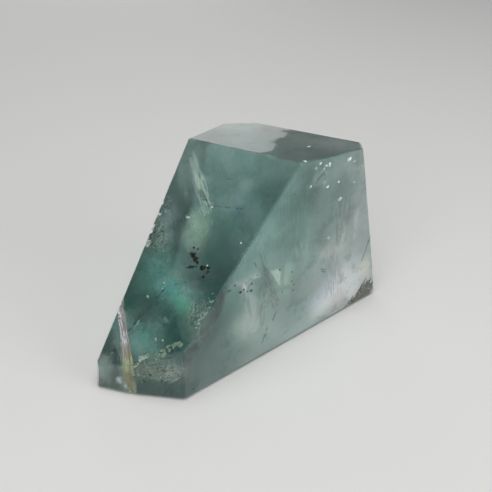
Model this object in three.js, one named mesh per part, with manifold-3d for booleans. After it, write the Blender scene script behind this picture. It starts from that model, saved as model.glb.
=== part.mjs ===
// A hand-cut, polished fluorite polyhedron that stands on its flat base.
// It is one solid: flat facets, thin worn edges, cleavage chips, small pits and one open fissure.
// Millimetres, +Z up. The origin is the centre of the bounding box, on the surface below the stone.

import * as THREE from 'three';
import Module from 'manifold-3d';
import { ConvexGeometry } from 'three/addons/geometries/ConvexGeometry.js';
import { mergeVertices } from 'three/addons/utils/BufferGeometryUtils.js';

// ---------------------------------------------------------------- driving dimensions

// Every facet faces a compass direction (degrees from +X, seen from above), looks up by some
// degrees, and lies at a distance in mm from the point that the stone was cut around.
const FACETS = {
  base: { faces: 0, up: -90, out: 0 },
  frontLeft: { faces: -121.5, up: 40.5, out: 25.1 },
  frontRight: { faces: -51.5, up: 0, out: 9.1 },
  footRight: { faces: -98, up: 2, out: 21.8 },
  footLeft: { faces: -106, up: 3, out: 24.1 },
  crown: { faces: 74.5, up: 79, out: 39.8 },
  cornerFlat: { faces: -47.5, up: 6, out: 14 },
  rightEnd: { faces: 0, up: 10, out: 28.2 },
  backLeft: { faces: 150.5, up: 5.5, out: 16.4 },
  back: { faces: 106.5, up: -7.5, out: 14.2 },
  backRight: { faces: 62.5, up: 6, out: 22.8 },
};

// Width in mm of the thin worn band along each edge where two facets meet.
const BASE_WEAR = 0.85;
const WORN_EDGES = [
  ['base', 'frontRight', BASE_WEAR],
  ['base', 'footRight', BASE_WEAR],
  ['base', 'footLeft', BASE_WEAR],
  ['base', 'backLeft', BASE_WEAR],
  ['base', 'back', BASE_WEAR],
  ['base', 'backRight', BASE_WEAR],
  ['crown', 'frontLeft', 0.4],
  ['crown', 'frontRight', 0.3],
  ['crown', 'cornerFlat', 0.3],
  ['crown', 'rightEnd', 0.6],
  ['crown', 'backLeft', 0.5],
  ['crown', 'back', 0.8],
  ['crown', 'backRight', 0.35],
  ['frontLeft', 'frontRight', 0.35],
  ['frontLeft', 'footRight', 0.5],
  ['frontLeft', 'footLeft', 0.5],
  ['frontLeft', 'backLeft', 0.35],
  ['frontRight', 'footRight', 0.4],
  ['frontRight', 'rightEnd', 0.35],
  ['cornerFlat', 'rightEnd', 0.35],
  ['footRight', 'footLeft', 0.35],
  ['footLeft', 'backLeft', 1.3],
  ['backLeft', 'back', 0.9],
  ['back', 'backRight', 0.6],
  ['backRight', 'rightEnd', 0.7],
];

// All broken surfaces follow the octahedral cleavage of the crystal, which lies at one angle.
const CRYSTAL_TURN = new THREE.Euler(0.62, 0.24, 0.48);

// Rows of cleavage chips. Each row runs from one point to another on a facet, given by x and z,
// and a chip's centre stands outside the facet by a share of the chip's size.
const CHIP_ROWS = [
  { facet: 'frontLeft', from: [-15.6, 30.0], to: [-18.6, 23.2], chips: 11, size: [0.7, 1.5], spread: 0.35, proud: 0.42 },
  { facet: 'frontLeft', from: [-11.3, 12.9], to: [-15.0, 10.6], chips: 11, size: [0.5, 1.0], spread: 0.45, proud: 0.45 },
  { facet: 'frontLeft', from: [-15.0, 10.3], to: [-20.2, 7.7], chips: 13, size: [0.5, 1.0], spread: 0.5, proud: 0.45 },
  { facet: 'frontLeft', from: [-5.3, 20.6], to: [-8.6, 15.8], chips: 12, size: [0.45, 0.9], spread: 0.55, proud: 0.55 },
  { facet: 'frontRight', from: [21.9, 0.7], to: [27.6, 2.4], chips: 9, size: [0.7, 1.3], spread: 0.5, proud: 0.5 },
];

// Small pits, as the facet, its x and z, and the pit's size.
const PITS = [
  ['frontRight', 12.6, 38.4, 0.42],
  ['frontRight', 14.2, 37.7, 0.34],
  ['cornerFlat', 15.3, 37.9, 0.46],
  ['cornerFlat', 19.0, 37.3, 0.55],
  ['cornerFlat', 20.3, 36.4, 0.3],
  ['frontRight', 11.7, 34.9, 0.4],
  ['frontRight', 15.0, 33.5, 0.36],
  ['frontRight', 17.9, 29.5, 0.6],
  ['frontRight', 16.0, 21.6, 0.5],
  ['frontRight', 20.6, 31.9, 0.3],
  ['frontLeft', -10.4, 29.2, 0.4],
  ['frontLeft', -14.7, 19.7, 0.38],
  ['frontLeft', -16.0, 11.9, 0.45],
  ['frontLeft', -17.6, 17.0, 0.35],
  ['footRight', -14.9, 4.4, 0.45],
  ['footRight', -17.1, 5.6, 0.5],
  ['footRight', -18.6, 3.6, 0.5],
  ['footRight', -16.1, 3.1, 0.4],
  ['footRight', -19.3, 5.4, 0.45],
];

// The broken lower right corner is scored by steep narrow gashes, as x, z and length.
const GASHES = [
  [22.0, 1.3, 2.2],
  [22.8, 1.7, 2.6],
  [24.0, 2.2, 3.2],
  [24.7, 3.4, 4.2],
  [25.5, 4.3, 3.6],
  [26.3, 3.0, 4.2],
  [26.9, 4.0, 3.0],
  [27.5, 2.6, 3.4],
];
const GASH_WIDTH = 0.5;
const GASH_DEPTH = 0.9;
const GASH_LEAN = 0.42;

// The open fissure crosses the front left facet and the left foot facet from edge to base.
// Its right lip is steep and its left wall shallow. Stations are facet, x, z, width and depth.
const FISSURE = [
  ['frontLeft', -22.95, 15.6, 0.9, 0.75],
  ['frontLeft', -22.6, 14.1, 0.95, 0.6],
  ['frontLeft', -22.15, 12.5, 1.15, 0.45],
  ['frontLeft', -21.8, 11.1, 1.0, 0.6],
  ['frontLeft', -21.4, 9.6, 1.3, 0.4],
  ['frontLeft', -21.0, 8.4, 1.15, 0.6],
  ['frontLeft', -20.6, 7.5, 1.25, 0.55],
  ['footLeft', -20.55, 5.9, 1.1, 0.5],
  ['footLeft', -20.7, 4.1, 0.85, 0.6],
  ['footLeft', -20.65, 2.4, 0.9, 0.45],
  ['footLeft', -20.75, 0.4, 0.7, 0.6],
];
const LIP_RISE = 0.4;

const ROUGH_BLOCK = [80, 70, 60];
const CUTTER_SIZE = 140;
const UP = new THREE.Vector3(0, 0, 1);

// ---------------------------------------------------------------- solids and planes

const wasm = await Module();
wasm.setup();

function solidFrom(geometry) {
  const bare = geometry.clone();
  bare.deleteAttribute('normal');
  bare.deleteAttribute('uv');
  const merged = mergeVertices(bare);
  const vertProperties = new Float32Array(merged.attributes.position.array);
  const triVerts = new Uint32Array(merged.index.array);
  return new wasm.Manifold(new wasm.Mesh({ numProp: 3, vertProperties, triVerts }));
}

function geometryFrom(solid) {
  const mesh = solid.getMesh();
  const geometry = new THREE.BufferGeometry();
  geometry.setAttribute('position', new THREE.BufferAttribute(mesh.vertProperties, 3));
  geometry.setIndex(new THREE.BufferAttribute(mesh.triVerts, 1));
  return geometry;
}

function facetPlane({ faces, up, out }) {
  const turn = THREE.MathUtils.degToRad(faces);
  const lift = THREE.MathUtils.degToRad(up);
  const level = Math.cos(lift);
  const normal = new THREE.Vector3(level * Math.cos(turn), level * Math.sin(turn), Math.sin(lift));
  return { normal, out };
}

const planes = Object.fromEntries(Object.entries(FACETS).map(([name, facet]) => [name, facetPlane(facet)]));

// The plane that takes a worn band of the given width off the edge between two facets.
function wornEdgePlane(first, second, width) {
  const cosine = first.normal.dot(second.normal);
  const foot = first.normal.clone().multiplyScalar((first.out - second.out * cosine) / (1 - cosine ** 2));
  foot.addScaledVector(second.normal, (second.out - first.out * cosine) / (1 - cosine ** 2));
  const normal = first.normal.clone().add(second.normal).normalize();
  const halfTurn = Math.acos(cosine) / 2;
  return { normal, out: foot.dot(normal) - (width / 2) * Math.tan(halfTurn) };
}

function cutBeyond(solid, { normal, out }) {
  const cutter = new THREE.BoxGeometry(CUTTER_SIZE, CUTTER_SIZE, CUTTER_SIZE);
  const turn = new THREE.Quaternion().setFromUnitVectors(UP, normal);
  const centre = normal.clone().multiplyScalar(out + CUTTER_SIZE / 2);
  cutter.applyMatrix4(new THREE.Matrix4().compose(centre, turn, new THREE.Vector3(1, 1, 1)));
  return solid.subtract(solidFrom(cutter));
}

// The point of a facet at the given x and z.
function onFacet(name, x, z) {
  const { normal, out } = planes[name];
  return new THREE.Vector3(x, (out - normal.x * x - normal.z * z) / normal.y, z);
}

// A repeatable stream of numbers from 0 to 1.
function numberStream(seed) {
  let state = seed;
  return () => {
    state = (state * 16807) % 2147483647;
    return state / 2147483647;
  };
}

// ---------------------------------------------------------------- cutting tools

function cleavageTool(centre, size, stretch) {
  const tool = new THREE.OctahedronGeometry(size);
  tool.scale(stretch.x, stretch.y, stretch.z);
  const turn = new THREE.Quaternion().setFromEuler(CRYSTAL_TURN);
  tool.applyMatrix4(new THREE.Matrix4().compose(centre, turn, new THREE.Vector3(1, 1, 1)));
  return solidFrom(tool);
}

function chipTools() {
  const random = numberStream(271);
  const between = (low, high) => low + (high - low) * random();
  const tools = [];
  for (const { facet, from, to, chips, size, spread, proud } of CHIP_ROWS) {
    for (let index = 0; index < chips; index += 1) {
      const along = (index + between(0.1, 0.9)) / chips;
      const chipSize = between(size[0], size[1]);
      const x = THREE.MathUtils.lerp(from[0], to[0], along) + between(-spread, spread);
      const z = THREE.MathUtils.lerp(from[1], to[1], along) + between(-spread, spread);
      const centre = onFacet(facet, x, z).addScaledVector(planes[facet].normal, chipSize * proud);
      const stretch = new THREE.Vector3(between(0.7, 1.3), between(0.7, 1.3), between(0.7, 1.3));
      tools.push(cleavageTool(centre, chipSize, stretch));
    }
  }
  return tools;
}

function pitTools() {
  const evenStretch = new THREE.Vector3(1, 1, 1);
  return PITS.map(([facet, x, z, size]) => cleavageTool(onFacet(facet, x, z), size, evenStretch));
}

// A gash is a narrow blade with pointed ends, sunk into the front right facet.
function gashTools() {
  const { normal } = planes.frontRight;
  const across = new THREE.Vector3().crossVectors(UP, normal).normalize();
  const along = UP.clone().addScaledVector(across, GASH_LEAN).normalize();
  return GASHES.map(([x, z, length]) => {
    const middle = onFacet('frontRight', x, z);
    const corners = [
      middle.clone().addScaledVector(along, length / 2),
      middle.clone().addScaledVector(along, -length / 2),
      middle.clone().addScaledVector(across, GASH_WIDTH / 2),
      middle.clone().addScaledVector(across, -GASH_WIDTH / 2),
      middle.clone().addScaledVector(normal, -GASH_DEPTH),
      middle.clone().addScaledVector(normal, GASH_DEPTH),
    ];
    return solidFrom(new ConvexGeometry(corners));
  });
}

// One wedge of the fissure between each pair of neighbouring stations.
function fissureTools() {
  const rings = FISSURE.map(([facet, x, z, width, depth]) => {
    const { normal } = planes[facet];
    const lip = onFacet(facet, x, z);
    const left = new THREE.Vector3(-1, 0, 0).projectOnPlane(normal).normalize();
    const floor = lip.clone().addScaledVector(normal, -depth).addScaledVector(left, width / 5);
    const raisedLip = lip.clone().addScaledVector(normal, LIP_RISE);
    const farSide = lip.clone().addScaledVector(left, width);
    const raisedFarSide = farSide.clone().addScaledVector(normal, LIP_RISE);
    return [lip, floor, raisedLip, farSide, raisedFarSide];
  });
  return rings.slice(1).map((ring, index) => solidFrom(new ConvexGeometry([...rings[index], ...ring])));
}

// ---------------------------------------------------------------- the stone

function cutStone() {
  let stone = solidFrom(new THREE.BoxGeometry(...ROUGH_BLOCK).translate(0, 0, ROUGH_BLOCK[2] / 2));
  for (const plane of Object.values(planes)) stone = cutBeyond(stone, plane);
  for (const [first, second, width] of WORN_EDGES) {
    stone = cutBeyond(stone, wornEdgePlane(planes[first], planes[second], width));
  }
  const tools = [...chipTools(), ...pitTools(), ...gashTools(), ...fissureTools()];
  for (const tool of tools) stone = stone.subtract(tool);
  return stone;
}

function settleOnOrigin(geometry) {
  geometry.computeBoundingBox();
  const middle = geometry.boundingBox.getCenter(new THREE.Vector3());
  return geometry.translate(-middle.x, -middle.y, -geometry.boundingBox.min.z);
}

const fluorite = new THREE.MeshStandardMaterial({ color: 0x5f9488, roughness: 0.12, metalness: 0 });
const stone = new THREE.Mesh(settleOnOrigin(geometryFrom(cutStone())), fluorite);
stone.name = 'fluorite_polyhedron';

const group = new THREE.Group();
group.add(stone);
export default group;
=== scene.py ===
"""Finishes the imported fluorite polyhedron: clear zoned stone, broken faces, inclusions and a plain stage.

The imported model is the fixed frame. Everything is in metres, +Z up, and the stone stands on z = 0.
Places inside the stone are given in millimetres and are turned into metres where they are used.
"""

import math
import random

import bmesh
import bpy
from bpy.props import FloatProperty, FloatVectorProperty, PointerProperty
from bpy.types import Operator, Panel, PropertyGroup
from mathutils import Matrix, Vector, noise
from mathutils.bvhtree import BVHTree


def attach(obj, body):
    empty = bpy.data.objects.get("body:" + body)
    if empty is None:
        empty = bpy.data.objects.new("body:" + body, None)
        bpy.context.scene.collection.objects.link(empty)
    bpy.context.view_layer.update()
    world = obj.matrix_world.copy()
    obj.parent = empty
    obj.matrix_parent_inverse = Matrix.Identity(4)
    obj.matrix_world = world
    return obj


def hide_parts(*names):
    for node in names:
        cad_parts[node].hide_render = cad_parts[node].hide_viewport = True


bl_info = {
    "name": "Fluorite polyhedron finish",
    "version": (1, 0, 0),
    "blender": (4, 5, 0),
    "location": "3D View > Sidebar > Fluorite",
    "description": "Builds the clear stone, its inclusions and a plain stage around the packed model",
    "category": "Object",
}

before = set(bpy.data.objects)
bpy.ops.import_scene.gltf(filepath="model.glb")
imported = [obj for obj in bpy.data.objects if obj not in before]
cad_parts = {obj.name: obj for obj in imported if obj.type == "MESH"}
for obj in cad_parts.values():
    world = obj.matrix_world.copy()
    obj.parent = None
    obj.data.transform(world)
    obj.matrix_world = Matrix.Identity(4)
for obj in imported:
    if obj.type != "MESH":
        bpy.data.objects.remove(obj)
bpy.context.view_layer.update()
MM = 0.001
BODY = "root"
STONE_NODE = "fluorite_polyhedron"
UP = (0.0, 0.0, 1.0)
BACKWARD = (0.0, 1.0, 0.0)

# The mark that broken faces carry.
BROKEN = "broken"

# Seeds of the random draws.
RELIEF_SEED = 3
LUMP_SEED = 4
GRAIN_SEED = 5
NEEDLE_SEED = 11
FLAKE_SEED = 23

# Vertices nearer than this are one, and faces whose normals differ by less than the angle are one facet.
MERGE_GAP = 0.001 * MM
FLAT_ANGLE = math.radians(0.3)
SAME_WAY = 0.999

# Thickness of the closed sheets, and how deep each inclusion lies at least.
SHEET_THICKNESS = 0.035 * MM
FLASH_THICKNESS = 0.04 * MM
BURIAL = 0.06 * MM

# The stone turns cloudy along this way, from the ridge between its front faces towards its lower right,
# and its polish is hazier from the ridge on.
CLOUDY_WAY = (1.02, -0.134, -0.649)
CLOUDY_STARTS = -15.0 * MM
CLOUDY_HALF = -3.0 * MM
CLOUDY_FULL = 13.0 * MM
RIDGE_HAZE_STARTS = -15.6 * MM
RIDGE_HAZE_FULL = -11.0 * MM

# Heights between which the foot ends, the upper part turns rough, the crown's edges are worn and carry a
# painted highlight (with the share of both at each height), and the summit turns hazy.
FOOT_EDGE = (0.45 * MM, 0.80 * MM)
ROUGH_HEIGHTS = (12.0 * MM, 25.0 * MM)
CROWN_WEAR_AND_HIGHLIGHT = (34.0 * MM, 37.0 * MM, 0.15, 0.32)
SUMMIT_HAZE = (35.0 * MM, 42.0 * MM)

# Tones laid over the colour zones.
PALE_HAZE = (0.86, 0.95, 0.93)
MURK = (0.14, 0.27, 0.23)
WISP = (0.96, 0.98, 1.0)
FOOT_SHADE = (0.10, 0.14, 0.12)
WORN_EDGE_AND_HIGHLIGHT = (0.74, 0.84, 0.80)
PALE_FIBRE = (0.76, 0.86, 0.76)
DARK_SPECK = (0.08, 0.15, 0.13)
PALE_SPECK = (0.84, 0.94, 0.90)
SCRATCH = (0.80, 0.92, 0.90)
DARK_BRUISE = (0.07, 0.12, 0.08)
PALE_BRUISE = (0.70, 0.78, 0.62)
PAINTED_FLASH_GLINT = (0.66, 0.90, 0.76)
SCORED_CORNER = (0.050, 0.058, 0.040)
DARK_LINE = (0.02, 0.06, 0.05)
PALE_LINE = (0.80, 0.92, 0.84)

# Tones of the broken faces and of the healed fracture, where no nearer tone is given below.
DARK_BREAK = (0.15, 0.22, 0.18)
PALE_BREAK = (0.56, 0.66, 0.60)
BREAK_STAIN = (0.20, 0.18, 0.13)
DULL_SILVER = (0.26, 0.36, 0.31)
BRIGHT_SILVER = (0.86, 0.90, 0.86)
SILVER_STAIN = (0.62, 0.64, 0.44)

# Colour zones of the stone: centre and reach (mm), the tint there, how much of it shows, and its milkiness.
COLOUR_ZONES = (
    ((-4, -5, 30), (15, 13, 16), (0.22, 0.34, 0.31), 0.85, 0.03),
    ((-11, 3.5, 34.5), (5.5, 6.5, 9), (0.74, 0.86, 0.84), 0.9, 0.1),
    # The four bright green rows that follow are partly the stone's green and partly a painted glow: light
    # reflected inside the stone off its base.
    ((-16, -8, 20), (7, 8, 9), (0.36, 0.98, 0.82), 0.9, 0.12),
    ((-17.5, -14, 11), (8, 7, 6.5), (0.38, 1, 0.82), 0.9, 0.18),
    ((-12.4, -12, 18.4), (7, 5.5, 4.4), (0.3, 0.96, 0.86), 0.95, 0.15),
    ((-11.2, -14, 17), (3.8, 3.8, 3.2), (0.26, 0.94, 0.6), 0.85, 0.1),
    ((-9.8, -16.6, 16), (3, 3, 3.6), (0.46, 0.68, 0.54), 0.75, 0.09),
    ((-8, -4.6, 27.6), (4, 4.4, 4.6), (0.62, 0.88, 0.64), 0.85, 0.12),
    ((-14.8, -3.4, 26), (4, 5, 4), (0.62, 0.78, 0.74), 0.6, 0.1),
    ((-1, -4.6, 32.5), (2.6, 4.8, 4), (0.2, 0.36, 0.47), 0.8, 0.06),
    ((4, -4.6, 34.6), (4.8, 4.6, 4.8), (0.06, 0.17, 0.14), 0.9, -0.1),
    ((-3.1, -6.5, 29.5), (2.6, 3.6, 3.6), (0.24, 0.42, 0.34), 0.7, 0),
    ((-2.4, -9.8, 26.4), (2.8, 3.6, 4.6), (0.26, 0.4, 0.44), 0.75, 0.04),
    ((-12, -9.3, 21.2), (3.5, 2.6, 2.3), (0.5, 0.66, 0.52), 0.6, 0.06),
    ((-7, -7.7, 25.8), (2.3, 2.3, 1.9), (0.4, 0.42, 0.34), 0.6, 0.07),
    ((1.4, -2.4, 36.4), (2.4, 2.8, 2.2), (0.44, 0.43, 0.49), 0.8, 0.12),
    ((9.6, -3.4, 34), (9.5, 8.5, 9), (0.09, 0.19, 0.16), 0.95, -0.1),
    ((13.6, -0.7, 36.6), (2.4, 2.2, 2.6), (0.4, 0.5, 0.48), 0.8, 0.2),
    ((8.5, -5, 26), (7.5, 7.5, 8), (0.18, 0.3, 0.25), 0.85, 0),
    ((3, -9, 10), (13, 10, 10), (0.84, 0.95, 0.91), 0.8, 0.09),
    ((20, 4.5, 6.5), (13.5, 10.5, 9.5), (0.97, 0.96, 1), 0.95, 0.27),
    ((22, 6.5, 22), (7, 7, 14), (0.48, 0.53, 0.57), 0.8, 0),
    ((19, 3.5, 32), (5.5, 5, 5.5), (0.28, 0.37, 0.36), 0.8, 0),
    ((25.5, 9.3, 9), (2.3, 3, 3.5), (1, 0.96, 0.82), 0.7, 0.05),
    ((0.4, -11, 10.8), (8, 7.5, 7), (0.74, 0.92, 0.76), 0.7, 0.11),
    ((0.3, -11.3, 20.2), (4, 3.6, 3.4), (0.62, 0.74, 0.7), 0.75, 0.14),
    ((7.7, -5.5, 15.2), (3.4, 3.2, 4.8), (0.66, 0.94, 0.72), 0.75, 0.13),
    ((16.7, 1.7, 17.9), (5, 4.4, 5.4), (0.92, 0.97, 0.93), 0.85, 0.12),
    ((15.3, 0.6, 7.4), (3.6, 3.2, 3.4), (0.74, 0.8, 0.96), 0.8, 0.05),
    ((19, 3.5, 23.7), (2.4, 2.2, 2.6), (0.34, 0.35, 0.33), 0.75, 0),
    ((14, 7, 38.5), (9, 8, 3), (0.8, 0.9, 0.88), 0.8, 0.02),
    ((-16.9, -19.4, 6.2), (7, 2.8, 3.6), (0.54, 0.64, 0.36), 0.9, 0.12),
    # The near-black row below is painted shade along the foot of the lower front facet.
    ((-16, -19.6, 1.8), (8.5, 2.6, 2.8), (0.015, 0.07, 0.13), 1, -0.45),
    ((-26.3, -17, 4.6), (3.8, 3.4, 5), (0.8, 0.95, 0.88), 0.9, 0.22),
    ((-23.3, -12.8, 11.3), (3.6, 4.6, 6), (0.62, 1, 0.95), 0.9, 0.12),
    ((-14.5, -1.5, 28.5), (4, 5, 6), (0.74, 0.86, 0.84), 0.85, 0.1),
    ((-3, 0, 36), (9, 8, 7.5), (0.17, 0.26, 0.25), 0.85, 0),
    ((-12.5, -19.4, 7.5), (4, 3, 4.5), (0.74, 0.78, 0.76), 0.8, 0.14),
)

# Small marks just under the skin: centre and reach (mm), the tint there, how much shows, and its milkiness.
MARKS = (
    ((-23.2, -18.3, 3.2), (1, 1, 1.5), (0.93, 0.98, 0.95), 0.95, 0.5),
    ((-22.1, -18.6, 2.1), (0.6, 0.8, 1.3), (0.93, 0.98, 0.95), 0.95, 0.45),
    ((-0.2, -11.3, 20.3), (1.7, 1.6, 1.5), (0.5, 0.58, 0.62), 0.95, 0.5),
    ((1.6, -9.9, 21), (1.6, 1.3, 0.9), (0.66, 0.74, 0.76), 0.8, 0.4),
    ((-1.5, -12.2, 21.4), (0.8, 0.7, 1), (0.5, 0.62, 0.72), 0.8, 0.3),
    ((7.9, -5, 18.6), (2.6, 2.2, 3.4), (0.66, 0.88, 0.74), 0.75, 0.16),
    ((2.6, -9.2, 22.6), (0.9, 0.8, 2.2), (0.28, 0.36, 0.34), 0.7, 0.05),
    ((-7.9, -4.2, 29.2), (3.6, 3.6, 3.8), (0.56, 0.74, 0.56), 0.75, 0.08),
    ((-7.3, -15.9, 18.1), (1.9, 1.9, 3.1), (0.52, 0.66, 0.56), 0.7, 0.12),
    ((-10.3, -5.5, 26.3), (1.3, 1.1, 1.1), (0.2, 0.26, 0.22), 0.8, 0.05),
    ((-14, -15.3, 15), (1.5, 1, 0.9), (0.5, 0.8, 0.7), 0.6, 0.16),
)

# Bruised patches with dark and pale grains: centre and reach (mm).
SPECKLED = (
    ((-15.9, -3.2, 24.6), (3, 4.6, 3.6)),
    ((-16.4, -19.5, 6), (8.2, 3.2, 4.2)),
    ((-8.8, -16.6, 17), (2.2, 3.4, 4.4)),
)

# Spots in the skin: place and reach (mm), and their tone; the white ones are painted glints.
SOOT = (0.01, 0.012, 0.01)
IRON = (0.1, 0.055, 0.03)
PAINTED_GLINT = (0.97, 1, 0.97)
SPOTS = (
    ((-9.35, -8.35, 24.51), 0.66, SOOT),
    ((-8.88, -9.09, 24.06), 0.62, IRON),
    ((-8.5, -9.67, 23.72), 0.45, IRON),
    ((-9.87, -9.7, 22.85), 0.42, IRON),
    ((-9.32, -9.89, 22.99), 0.42, IRON),
    ((-10.43, -9.64, 22.57), 0.3, IRON),
    ((-7.72, -10.58, 23.29), 0.64, SOOT),
    ((-7.09, -10.61, 23.64), 0.36, SOOT),
    ((-6.51, -11, 23.61), 0.46, SOOT),
    ((-6.57, -11.48, 23.09), 0.38, SOOT),
    ((-7.38, -11.83, 22.25), 0.38, IRON),
    ((-9.18, -7.52, 25.45), 0.34, SOOT),
    ((-8.44, -7.91, 25.51), 0.3, SOOT),
    ((-0.86, -12.25, 19.03), 0.45, SOOT),
    ((-0.25, -11.77, 19.26), 0.32, SOOT),
    ((1.08, -10.7, 18.17), 0.42, SOOT),
    ((1.18, -10.62, 19.72), 0.35, IRON),
    ((-1.83, -13.02, 21.18), 0.32, IRON),
    ((0.34, -11.3, 18.42), 0.3, IRON),
    ((-2.88, -13.85, 20.64), 0.34, IRON),
    ((-4.02, -14.76, 20.07), 0.34, IRON),
    ((6.38, -6.49, 19.71), 0.36, IRON),
    ((8.87, -4.51, 17.67), 0.3, SOOT),
    ((8.89, -4.49, 15.49), 0.28, SOOT),
    ((9.37, -4.11, 14.43), 0.28, SOOT),
    ((9.25, -4.21, 13.01), 0.28, SOOT),
    ((7.05, -5.95, 13.89), 0.28, SOOT),
    ((2.17, -9.84, 21.05), 0.28, SOOT),
    ((-17.85, -19.35, 3.5), 0.26, SOOT),
    ((-14.67, -19.68, 6.68), 0.26, SOOT),
    ((-9.61, -19.21, 1.78), 0.28, SOOT),
    ((11.62, -2.32, 35.04), 0.39, PAINTED_GLINT),
    ((14.98, 0.35, 33.45), 0.39, PAINTED_GLINT),
    ((17.89, 2.67, 29.46), 0.45, PAINTED_GLINT),
    ((16.03, 1.18, 21.59), 0.51, PAINTED_GLINT),
    ((11.56, 5.66, 38.83), 0.45, PAINTED_GLINT),
    ((10.19, -2.87, 40.5), 0.45, PAINTED_GLINT),
    ((13.26, -1.02, 39.04), 0.39, PAINTED_GLINT),
    ((14.46, -0.07, 38.11), 0.36, PAINTED_GLINT),
    ((15.03, 0.39, 38.16), 0.42, PAINTED_GLINT),
    ((19.16, 3.98, 37.31), 0.51, PAINTED_GLINT),
    ((21.98, 6.08, 34.58), 0.36, PAINTED_GLINT),
    ((17.15, 2.08, 33.48), 0.36, PAINTED_GLINT),
    ((-10.17, -3.19, 29.16), 0.24, PAINTED_GLINT),
    ((-5.88, -3.48, 31.5), 0.24, PAINTED_GLINT),
    ((-0.7, -9.9, 28.26), 0.26, PAINTED_GLINT),
    ((-14.69, -10.03, 19.58), 0.28, PAINTED_GLINT),
    ((-14.91, -10.68, 18.78), 0.24, PAINTED_GLINT),
    ((-14.59, -0.77, 28.88), 0.3, PAINTED_GLINT),
    ((-6.69, -10.67, 23.83), 0.24, PAINTED_GLINT),
    ((-16.01, -16.78, 12.02), 0.22, PAINTED_GLINT),
    ((-14.69, -17.33, 12.29), 0.2, PAINTED_GLINT),
    ((-14.48, -17.89, 11.85), 0.18, PAINTED_GLINT),
)

# Lines in the skin: two ends and half width (mm), and how dark (0) or pale (1) the line is.
LINES = (
    # The first three rows are painted shade lines: the low back edges seen through the front-left facet,
    # drawn dark in its skin.
    ((-27.54, -17.03, 2.4), (-21.46, -14.16, 11.31), 0.19, 0.12),
    ((-21.46, -14.16, 11.31), (-14.12, -10.67, 19.28), 0.2, 0),
    ((-14.12, -10.73, 19.22), (-6.93, -11.99, 22.37), 0.16, 0.1),
    ((-10.92, -3.78, 28.12), (-9.05, -4.5, 28.54), 0.15, 0),
    ((-7.57, -1.08, 32.86), (-6.26, -3.32, 31.43), 0.13, 0.3),
    ((-7.69, -1.82, 32.05), (-5.92, -2.59, 32.36), 0.17, 0),
    ((-5.95, -3.28, 31.66), (-0.4, -5.75, 32.59), 0.17, 0),
    ((-3.26, -0.81, 35.77), (-2.54, -1.14, 35.88), 0.19, 0),
    ((-10.35, 5.02, 37.25), (-9.58, 4.64, 37.34), 0.19, 0),
    ((5.92, -6.85, 9.64), (5.27, -7.37, 8.13), 0.2, 0),
    ((4.34, -8.11, 7.12), (3.25, -8.98, 3.52), 0.18, 0),
    ((1.57, -10.31, 24.26), (2.03, -9.95, 23.01), 0.19, 0),
    ((24.18, 7.67, 11.25), (25.66, 8.85, 16.75), 0.2, 0),
    ((14.82, 0.23, 14.74), (15.83, 1.02, 13.98), 0.17, 0),
    ((15.08, 0.43, 14.04), (16.09, 1.23, 13.27), 0.17, 0),
    ((-15.09, -19.52, 9.64), (-12.61, -19.83, 10.68), 0.19, 0),
    ((-12.61, -19.83, 10.68), (-11.5, -19.58, 11.99), 0.17, 0),
    ((-27.72, -16.92, 3.35), (-24.41, -15.93, 7.74), 0.26, 1),
    ((-7.97, 0.66, 34.36), (-5.86, -3.32, 31.68), 0.17, 0.8),
    ((12.26, -1.81, 33.7), (14.1, -0.34, 28.94), 0.13, 0.75),
    ((14.95, 0.33, 36.57), (18.96, 3.52, 28.93), 0.13, 0.75),
    ((17.91, 2.69, 33.97), (18.9, 3.47, 29.62), 0.12, 0.75),
    ((20.08, 4.41, 32.55), (21.93, 5.88, 26.56), 0.13, 0.75),
    ((7.74, -5.4, 35.16), (8.85, -4.52, 34.73), 0.15, 0),
    ((12.56, 9.91, 37.99), (13.68, 9.77, 37.95), 0.22, 1),
)

# Streaky veils in the skin: two ends and half width (mm), the tint, and the milkiness.
VEILS = (
    ((-9.6, 4.6, 37.2), (-8.6, 1.2, 34.4), 1.4, (0.66, 0.82, 0.79), 0.14),
    ((-8.4, 1.2, 34.4), (-7, -3.1, 31.3), 1.9, (0.74, 0.92, 0.82), 0.24),
    ((-10.7, 3.3, 35.3), (-9.9, 0.3, 32.8), 1, (0.56, 0.72, 0.69), 0.08),
    ((0.3, -11.2, 19), (1.2, -10.5, 9), 2.2, (0.88, 0.94, 0.9), 0.16),
    ((10.5, -3.1, 22), (12, -1.9, 12), 2.8, (0.64, 0.77, 0.69), 0.05),
    ((2.9, -9.2, 24.7), (4.3, -8.1, 17.7), 1.3, (0.16, 0.22, 0.2), 0),
    ((4.3, -8.1, 17.7), (5.8, -6.9, 11.9), 1.2, (0.22, 0.29, 0.27), 0),
    ((3.2, -9, 17.5), (2.6, -9.5, 7.6), 1.6, (0.34, 0.44, 0.38), 0),
    ((18.5, 3.1, 27.6), (19.1, 3.6, 20.4), 3.2, (0.3, 0.35, 0.32), 0),
    ((16.8, 1.8, 17.1), (17.9, 2.7, 7.5), 3.4, (0.5, 0.55, 0.6), 0),
    ((21.7, 5.7, 24.9), (22.1, 6, 18.7), 0.9, (0.92, 0.94, 0.97), 0.22),
)

# Two outlines (mm) on the front-right facet, seen square to it: a painted pale green glint where a small
# cleavage plane flashes, and the dark scored corner at the foot. They show only where the skin lies this
# far out that way.
FLASH_GLINT_OUTLINE = ((4.46, -8.02, 20.51), (6.2, -6.63, 20.19), (6.73, -6.21, 18.98), (6.45, -6.43, 15.73))
GASH = ((20.4, 4.6, 0), (26.3, 9.3, 5), (27.8, 10.5, 3.1), (27.9, 10.6, 0))
FRONT_RIGHT_WAY = (0.623, -0.783, 0)
FRONT_RIGHT_SKIN = (7.4 * MM, 8.2 * MM)

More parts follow.
